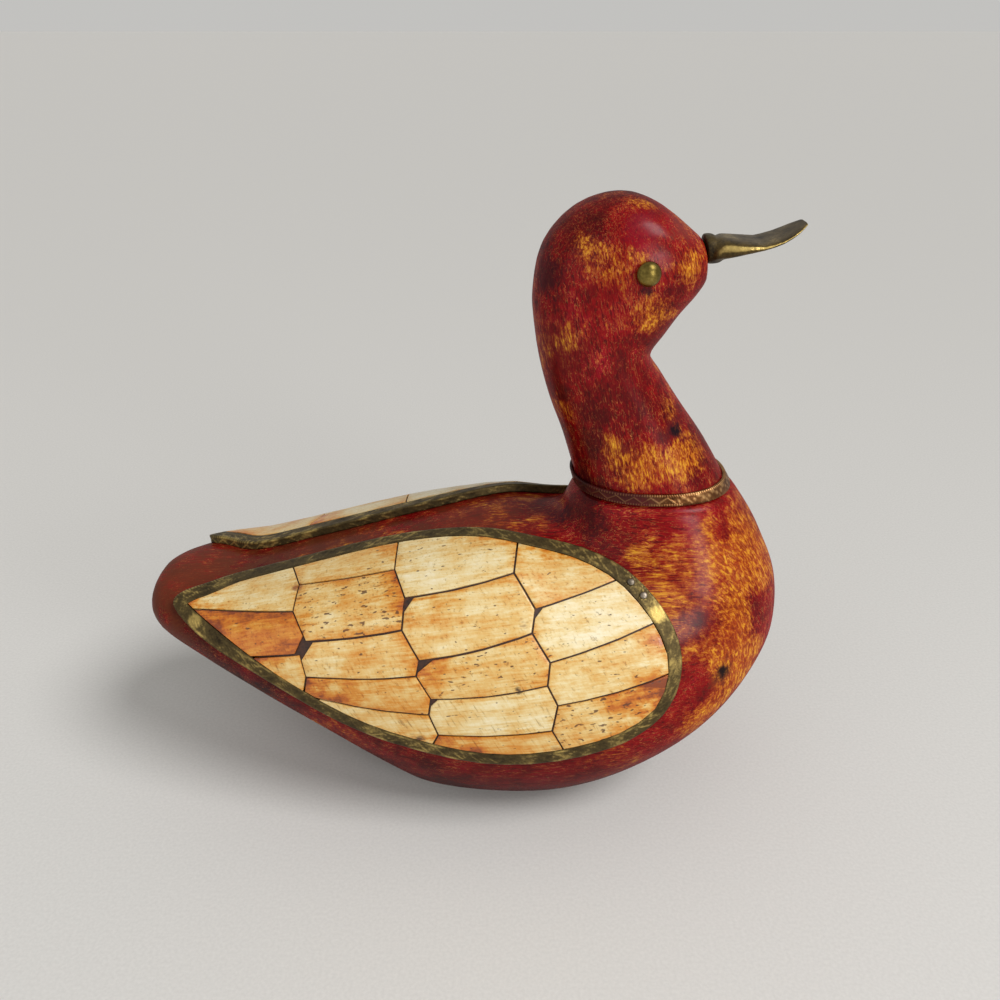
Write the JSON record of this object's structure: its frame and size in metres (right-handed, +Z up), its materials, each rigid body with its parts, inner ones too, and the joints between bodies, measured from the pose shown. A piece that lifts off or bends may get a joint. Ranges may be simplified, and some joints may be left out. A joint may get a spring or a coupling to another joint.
{
  "type": "wooden duck figurine",
  "caption": "Carved and painted wooden duck ornament with a brass bill, tack eyes, neck band and bone tiled wings in brass rims.",
  "frame": {"origin": "middle of the duck's bounding box, at the flat underside it stands on", "axes": "+X towards the bill and chest, +Y towards the duck's left wing, +Z up"},
  "size_m": [0.227, 0.1134, 0.215],
  "materials": {
    "painted_wood": "distressed crimson and gold paint under satin lacquer",
    "plain_wood": "bare",
    "brass": "aged and rubbed",
    "bone": "polished and stained bone",
    "mastic": "matt dark mastic"
  },
  "bodies": {
    "root": {"body": "painted_wood", "neck_and_head": "painted_wood", "neck_dowel": "plain_wood", "bill": "brass", "eye_right": "brass", "eye_left": "brass", "neck_band": "brass", "wing_bed_right": "mastic", "wing_bed_left": "mastic", "wing_rim_right": "brass", "wing_rim_left": "brass", "rim_pin_right_1": "brass", "rim_pin_right_2": "brass", "rim_pin_left_1": "brass", "rim_pin_left_2": "brass", "tile_right_01": "bone", "tile_right_02": "bone", "tile_right_03": "bone", "tile_right_04": "bone", "tile_right_05": "bone", "tile_right_06": "bone", "tile_right_07": "bone", "tile_right_08": "bone", "tile_right_09": "bone", "tile_right_10": "bone", "tile_right_11": "bone", "tile_right_12": "bone", "tile_right_13": "bone", "tile_right_14": "bone", "tile_right_15": "bone", "tile_right_16": "bone", "tile_right_17": "bone", "tile_left_01": "bone", "tile_left_02": "bone", "tile_left_03": "bone", "tile_left_04": "bone", "tile_left_05": "bone", "tile_left_06": "bone", "tile_left_07": "bone", "tile_left_08": "bone", "tile_left_09": "bone", "tile_left_10": "bone", "tile_left_11": "bone", "tile_left_12": "bone", "tile_left_13": "bone", "tile_left_14": "bone", "tile_left_15": "bone", "tile_left_16": "bone", "tile_left_17": "bone"}
  },
  "joints": []
}
